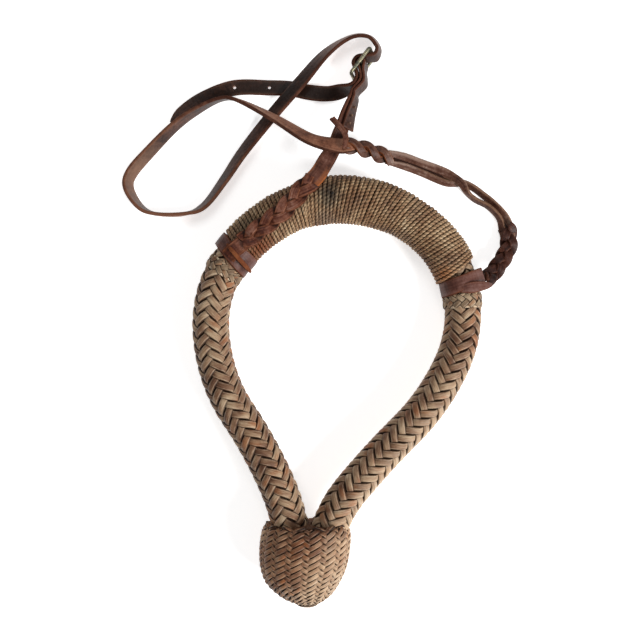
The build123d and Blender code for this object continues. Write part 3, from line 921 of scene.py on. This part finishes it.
RING_R = 14.0
RING_FLOATS = 15
RING_LEAN = 0.34        # radians that a float leans from the rim to the middle
RING_STRAND = (4.5, 2.3)
RIM_STRAND = (2.4, 2.0)


def make_ring_knot(name, spot, half, lean, along=0.0):
    """A ring knot: two rows of slanted strands that meet in points, between two rim strands."""
    pile = Pile()
    middle = tube.near(spot) + along * MM
    t = np.linspace(0, 1, 12)
    wave = np.sin(t * math.pi) ** 0.6
    for row in (-1, 1):
        for k in range(RING_FLOATS):
            angle = 2 * math.pi * (k + 0.25 * row) / RING_FLOATS + t * RING_LEAN
            s = middle + (row * (half * (1 - t) + 0.2) + lean * np.cos(angle)) * MM
            at, out = tube.round(s, angle, (RING_R + wave * 1.2 - 0.9) * MM)
            pile.sweep(at, out, oval(RING_STRAND), rng.random(), tuck=(0.8 - 0.8 * wave)[:, None])
        angle = np.linspace(0, 2 * math.pi, 90)
        s = middle + (row * (half + 0.4) + lean * np.cos(angle)) * MM
        at, out = tube.round(s, angle, (RING_R - 0.7 + 0.3 * np.sin(9 * angle)) * MM)
        rim = oval(RIM_STRAND)
        pile.sweep(at, out, rim, rng.random(), slots=[1] * len(rim))
    pile.piece(name, [collar_rawhide, rim_rawhide], "noseband", "rawhide_braid")


make_ring_knot("left_collar", LEFT_COLLAR_AT, half=3.4, lean=-1.8, along=3.0)
make_ring_knot("right_collar", RIGHT_COLLAR_AT, half=4.2, lean=0.0)

KNOT_STRANDS = 24
KNOT_ANGLE = 58.5
KNOT_R = 30             # at which the strands lie at that angle
KNOT_STRAND = (4.1, 3.0)
KNOT_LIFT = 1.2
KNOT_SINK = 2.0         # of the weave's middle below the knot's outside
RIM_LEAVES = 15
LEAF_LENGTH = 0.42      # radians round the knot
LEAF_STRAND = (6.8, 2.6)
RIM_ROWS = 20           # rows of the knot's line that lead in over its rim
BUTTON_ROWS = 5         # and those that a coiled strand covers at its tip
BUTTON_TURNS = 2.2
BUTTON_STRAND = (3.0, 2.4)
BUTTON_SINK = 0.6


def make_heel_knot():
    knot = Knot(KNOT_SECTIONS)
    pile = Pile()
    slope = math.tan(math.radians(KNOT_ANGLE)) / (KNOT_R * MM)

    def place(s, angle, lift):
        return knot.place(s, angle, lift - KNOT_SINK * MM)

    weave(
        pile, place, knot.s[0], knot.s[-1], KNOT_STRANDS, slope, 2, 1, KNOT_STRAND, KNOT_LIFT,
        phase=0.1, step=1.2,
    )
    t = np.linspace(0, 1, 14)
    shape = np.clip(np.sin(t * math.pi), 0.12, 1) ** 0.8
    for k in range(RIM_LEAVES):
        angle = 2 * math.pi * k / RIM_LEAVES + (t - 0.5) * LEAF_LENGTH
        s = knot.s[RIM_ROWS] + (np.sin((t - 0.5) * 2) * (-1) ** k * 2.5 - 3.5) * MM
        at, out, _ = knot.place(s, angle, (shape * 1.6 - 1.2) * MM)
        pile.sweep(at, out, oval(LEAF_STRAND), rng.random(), shape, tuck=(0.8 - shape)[:, None])
    button = np.linspace(0, 1, 120)
    s = knot.s[-BUTTON_ROWS] + (knot.s[-1] - knot.s[-BUTTON_ROWS]) * button
    at, out, _ = knot.place(s, button * 2 * math.pi * BUTTON_TURNS, -BUTTON_SINK * MM)
    pile.sweep(at, out, oval(BUTTON_STRAND), rng.random())
    pile.piece("heel_knot_cover", [knot_rawhide], "noseband", "rawhide_braid")


make_heel_knot()

# ---- The hanger ----

# Widths and thicknesses.
STRAP = (12.0, 2.8)
STRAP_START = (6.5, 2.4)
STRAP_TIP = (5.5, 2.8)
NECK = (12.5, 2.2)
CHEEK = (13.0, 2.4)
CHEEK_TOP = (12.0, 2.4)
CHEEK_FOLD = (12.0, 2.0)
CHEEK_LAP = (10.5, 2.0)

# Materials of a strap's grain side, flesh side and cut edges.
CROWN_LEATHERS = [red_leather, dark_leather, dark_edge]
CHEEK_LEATHERS = [cheek_leather, dark_leather, cheek_edge]
BRAID_LEATHERS = [braid_leather, dark_leather, cut_edge]
LOOP_LEATHERS = [loop_leather, dark_leather, cut_edge, orange_edge]


def make_crown_strap():
    pile = Pile()
    route = []
    for points in ([RIGHT_KNOT[-1], *CROWN_RETURN], CROWN_LEFT_LOOP, CROWN_RUN, CROWN_TURN):
        route += with_turns(points, *STRAP)
    route[0] = resized(route[0], *STRAP_START)
    route += in_buckle(BILLET_SIDE_VIEW, *STRAP)
    route += with_turns(CROWN_TAIL, *STRAP)
    route[-1] = (*TAIL_TIP, *route[-1][3:6], *STRAP_TIP)
    Strap(route).put(pile)
    pile.piece("crown_strap", CROWN_LEATHERS, "hanger", "leather", [
        "crown_strap_return", "crown_strap_left_loop", "crown_strap_run",
        "crown_strap_turn", "crown_strap_billet", "crown_strap_tail",
    ], holes=TAIL_HOLES)


def make_left_cheek():
    pile = Pile()
    angle = np.radians(FOLD_TURN_ANGLES)
    turn = list(zip(FOLD_TURN_R * np.cos(angle), FOLD_TURN_R * np.sin(angle)))
    route = with_turns(LEFT_CHEEK_BRAID[-1:] + LEFT_CHEEK_LOWER, *CHEEK)[1:]
    route += with_turns(LEFT_CHEEK_UPPER, *CHEEK_TOP)
    route += in_buckle(FOLD_FRONT + turn + FOLD_BACK, *CHEEK_FOLD)
    route += with_turns(LEFT_CHEEK_LAP, *CHEEK_LAP)
    Strap(route).put(pile)
    pile.piece("left_cheek_strap", CHEEK_LEATHERS, "hanger", "leather", [
        "left_cheek_lower", "left_cheek_upper", "left_cheek_fold", "left_cheek_lap",
    ])


def plait(pile, route, width, thick, lay, strand, start):
    """Three strands plaited along a route, from that share of the lay."""
    line = Strap(with_turns(route, width, thick), 16)
    for k in range(3):
        turn = 2 * math.pi * (line.s / (lay * MM) + k / 3 + start)
        across = (width - strand[0]) / 2 * np.sin(turn) * MM
        over = np.sin(2 * turn)
        lift = (thick - strand[1]) / 2 * over * MM
        at = line.at + line.wide * across[:, None] + line.deep * lift[:, None]
        profile = STRAP_PROFILE * (strand[0] / 2 * MM, strand[1] * MM)
        low = (0.5 - 0.5 * over)[:, None]
        pile.sweep(at, line.deep, profile, rng.random(), slots=strap_slots(), tuck=low)


BRAID_RISE = 1.6        # of the left braid's middle above its route
# Where the bend begins and ends, from the noseband's side to the hanger's, in metres. Only their presence
# is used: the piece is baked where it stands and rides on no body.
LEFT_BRAID_ENDS = ((-0.066, 0.047, 0.037), (-0.034, 0.073, 0.041))
RIGHT_BRAID_ENDS = ((0.130, 0.029, 0.018), (0.146, 0.048, 0.009))


def make_left_braid():
    """The left cheek's slit braid, with the plain neck that comes out of the loop."""
    pile = Pile()
    Strap(with_turns([*LOOP_NECK, LEFT_CHEEK_BRAID[0]], *NECK)).put(pile)
    route = [*LOOP_NECK[2:], *LEFT_CHEEK_BRAID, LEFT_CHEEK_LOWER[0], LEFT_BRAID_TOP]
    route = [(x, y, z + BRAID_RISE, roll) for x, y, z, roll in route]
    plait(pile, route, width=15.5, thick=6.4, lay=44, strand=(7.4, 2.4), start=0.2)
    pile.piece(
        "left_cheek_braid", BRAID_LEATHERS, "hanger", "leather", ["left_cheek_braid", "left_loop_neck"],
        bend=LEFT_BRAID_ENDS,
    )


def make_right_braid():
    pile = Pile()
    plait(pile, RIGHT_BRAID, width=14, thick=8.6, lay=35, strand=(6.8, 3.4), start=0.1)
    pile.piece(
        "right_cheek_braid", [black_leather, black_leather, dark_edge], "hanger", "leather",
        bend=RIGHT_BRAID_ENDS,
    )


def ring(spot, angles, radii, width, thick, lean, along=0.0):
    """Rows of a strap that lies round the noseband, through those angles and radii."""
    middle = tube.near(spot) + along * MM
    angle = np.radians(angles)
    s = middle + lean * np.cos(angle) * MM
    at, _ = tube.round(s, angle, np.array(radii) * MM)
    wide = -tube.between(s, tube.along)
    width = np.broadcast_to(width, len(angles))
    return [(*(p / MM), *w, d, thick) for p, w, d in zip(at, wide, width)]


def make_left_loop():
    """A band round the noseband, its end rolled back on itself beside the cheek's neck."""
    pile = Pile()
    band = ring(
        LEFT_LOOP_AT, (-178, -150, -115, -80, -40, -10, 20, 50, 80, 110, 140, 165, 185),
        (14.4, 14.6, 15.2, 15.6, 15.4, 15.2, 15.4, 15.6, 15.8, 15.6, 15.2, 15.4, 16.6),
        width=11.6, thick=2.2, lean=-4.2, along=1.6,
    )
    flap = ring(
        LEFT_LOOP_AT, (-30, -8, 15, 38, 62, 84), (15.6, 16.4, 16.8, 17.2, 17.6, 17.8),
        width=(6.4, 8.2, 9.4, 9.8, 9.4, 8.4), thick=2.0, lean=-2.0, along=7.4,
    )
    roll = ring(
        LEFT_LOOP_AT, (4, 28, 52, 76, 96, 112), (16.8, 18.4, 19.6, 20.0, 19.0, 17.6),
        width=(1.8, 2.8, 3.4, 3.4, 3.0, 2.0), thick=3.4, lean=-5.0, along=3.6,
    )
    Strap(band).put(pile)
    Strap(flap).put(pile)
    Strap(roll).put(pile, slot=ORANGE)
    pile.piece("left_loop", LOOP_LEATHERS, "noseband", "leather")


def make_right_loop():
    """A band round the noseband with its two ends standing off on the outside."""
    pile = Pile()
    band = ring(
        RIGHT_LOOP_AT, (-168, -130, -95, -55, -20, 10, 40, 70, 100, 130, 152, 166),
        (15.2, 15.2, 15.2, 15.0, 14.6, 14.6, 15.0, 15.4, 15.4, 15.8, 17.0, 18.6),
        width=12.2, thick=2.2, lean=2.0,
    )
    tab = ring(
        RIGHT_LOOP_AT, (80, 100, 120, 138, 152, 162), (15.2, 16.2, 17.6, 19.6, 21.8, 23.8),
        width=(5.0, 8.0, 8.4, 7.0, 5.0, 2.4), thick=1.8, lean=-0.5, along=4.6,
    )
    Strap(band).put(pile)
    Strap(tab).put(pile)
    pile.piece("right_loop", LOOP_LEATHERS, "noseband", "leather")


TWIST = (12, 5)
TWIST_LAY = 27
TWIST_STRAND = (6.2, 3.0)
TWIST_SWING = (3.5, 2.0)    # of each half to the side, and up
TWIST_HEART = (3.4, 1.6)
HEART_DROP = 1.2


def make_right_twist():
    """The slit end of the crown strap, its two halves twisted round each other."""
    pile = Pile()
    route = [TWIST_START, *RIGHT_KNOT, TWIST_END]
    line = Strap(with_turns(route, *TWIST), 20)
    heart = [(x, y, z - HEART_DROP, roll) for x, y, z, roll in route]
    Strap(with_turns(heart, *TWIST_HEART)).put(pile, slot=FLESH)
    for half in (0, 1):
        turn = 2 * math.pi * (line.s / (TWIST_LAY * MM) + half / 2 + 0.1)[:, None]
        to_side, lift = np.cos(turn), np.sin(turn)
        at = line.at + (line.wide * TWIST_SWING[0] * to_side + line.deep * TWIST_SWING[1] * lift) * MM
        lean = unit(line.deep + line.wide * 0.5 * to_side)
        profile = STRAP_PROFILE * (TWIST_STRAND[0] / 2 * MM, TWIST_STRAND[1] * MM)
        low = np.clip(0.4 - 0.5 * lift, 0, 1)
        pile.sweep(at, lean, profile, 0.2 + 0.6 * half, slots=strap_slots(), tuck=low)
    pile.piece("right_cheek_knot", [strand_leather, dark_leather, orange_edge], "hanger", "leather")


STRAND_THICK = 2.6
WIDE_START = (4.5, 2.4)
NARROW_START = (3.0, 2.2)
SLIT_SHADOW_SIZE = (3.6, 1.2)


def stretches(*parts):
    """Route rows of one strand after another, each a route with its own width."""
    return [row for route, width in parts for row in with_turns(route, width, STRAND_THICK)]


def make_right_strands():
    """The two strands of the slit right cheek, which cross and run down to its braid."""
    pile = Pile()
    wide = stretches((WIDE_STRAND, 7.8), (WIDE_CROSSING, 6.4), (FORK_INNER, 5.0), (FORK_INNER_END, 5.6))
    narrow = stretches(
        (NARROW_STRAND, 5.6), (NARROW_CROSSING, 5.4), (FORK_OUTER, 6.2), (FORK_OUTER_END, 6.4)
    )
    wide[0] = resized(wide[0], *WIDE_START)
    narrow[0] = resized(narrow[0], *NARROW_START)
    Strap(wide).put(pile, 0.1, slot=GRAIN)
    # A dark strip in the slit between the strands, as its painted shadow.
    Strap(with_turns(SLIT_SHADOW, *SLIT_SHADOW_SIZE)).put(pile, slot=EDGE)
    Strap(narrow).put(pile, 0.8, slot=GRAIN)
    pile.piece("right_cheek_strands", [strand_leather, dark_leather, slit_shadow_leather], "hanger", "leather", [
        "right_cheek_wide_strand", "right_cheek_narrow_strand", "right_cheek_twist",
        "right_cheek_fork_outer", "right_cheek_fork_inner",
    ])


TIE_STRAND = (2.4, 2.0)
TIE_APART = (0.935, 0.44)   # of each half from the middle, in x and y


def make_tie():
    """The thin end tied over the junction, slit into two halves side by side."""
    pile = Pile()
    for side in (-1, 1):
        route = [(x + side * TIE_APART[0], y + side * TIE_APART[1], z, roll) for x, y, z, roll in TIE]
        Strap(with_turns(route, *TIE_STRAND)).put(pile, 0.5 + 0.367 * side)
    pile.piece("right_cheek_tie", BRAID_LEATHERS, "hanger", "leather")


make_crown_strap()
make_left_cheek()
make_left_braid()
make_right_braid()
make_left_loop()
make_right_loop()
make_right_twist()
make_right_strands()
make_tie()

# The CAD pieces that show as they are.
for node, material in (
    ("noseband_core", inner_rawhide_in_shade), ("nose_braid", inner_rawhide_in_shade),
    ("heel_knot_foundation", filling_rawhide), ("lap_lacing", lace_leather),
    ("buckle_frame", brass), ("buckle_tongue", brass),
):
    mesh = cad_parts[node].data
    mesh.materials.clear()
    mesh.materials.append(material)

# ---- Floor, light and camera ----

FLOOR_SIZE = 6.0
FLOOR_DROP = 0.0002         # under the lowest point
FLOOR_GLOW = 0.62
WORLD_LIGHT = 0.22
WHITE = (1.0, 1.0, 1.0, 1.0)
CAMERA_AT = (0.00075, -0.0035, 0.7)
CAMERA_LENS = 49.3
CAMERA_SENSOR = 36.0


def make_floor():
    h = FLOOR_SIZE / 2
    low = min(cad_low[2], 0.0) - FLOOR_DROP
    corners = [(-h, -h, low), (h, -h, low), (h, h, low), (-h, h, low)]
    mesh = new_mesh("floor", corners, [(0, 1, 2, 3)])
    mesh.materials.append(Shader("floor_white").finish(
        (0.93, 0.93, 0.93, 1.0), 0.9, Emission_Color=WHITE, Emission_Strength=FLOOR_GLOW
    ))
    put_in_scene("floor", mesh)


def make_light(name, at, size, power):
    """A soft light panel that faces the object."""
    light = bpy.data.lights.new(name, "AREA")
    light.shape = "SQUARE"
    light.size = size
    light.energy = power
    lamp = put_in_scene(name, light)
    lamp.location = at
    lamp.rotation_mode = "QUATERNION"
    lamp.rotation_quaternion = Vector(at).to_track_quat("Z", "Y")


def make_camera():
    camera = put_in_scene("camera", bpy.data.cameras.new("camera"))
    camera.location = CAMERA_AT
    camera.data.lens = CAMERA_LENS
    camera.data.sensor_width = CAMERA_SENSOR
    camera.data.clip_start = 0.01
    bpy.context.scene.camera = camera


make_floor()
make_light("key_light", (1.2, -0.75, 1.1), 0.6, 40.0)
make_light("top_light", (-0.3, 0.9, 1.5), 0.8, 8.0)
make_camera()

world = bpy.data.worlds.new("studio")
bpy.context.scene.world = world
world.use_nodes = True
background = world.node_tree.nodes["Background"]
background.inputs["Color"].default_value = WHITE
background.inputs["Strength"].default_value = WORLD_LIGHT
bpy.context.scene.view_settings.view_transform = "Standard"
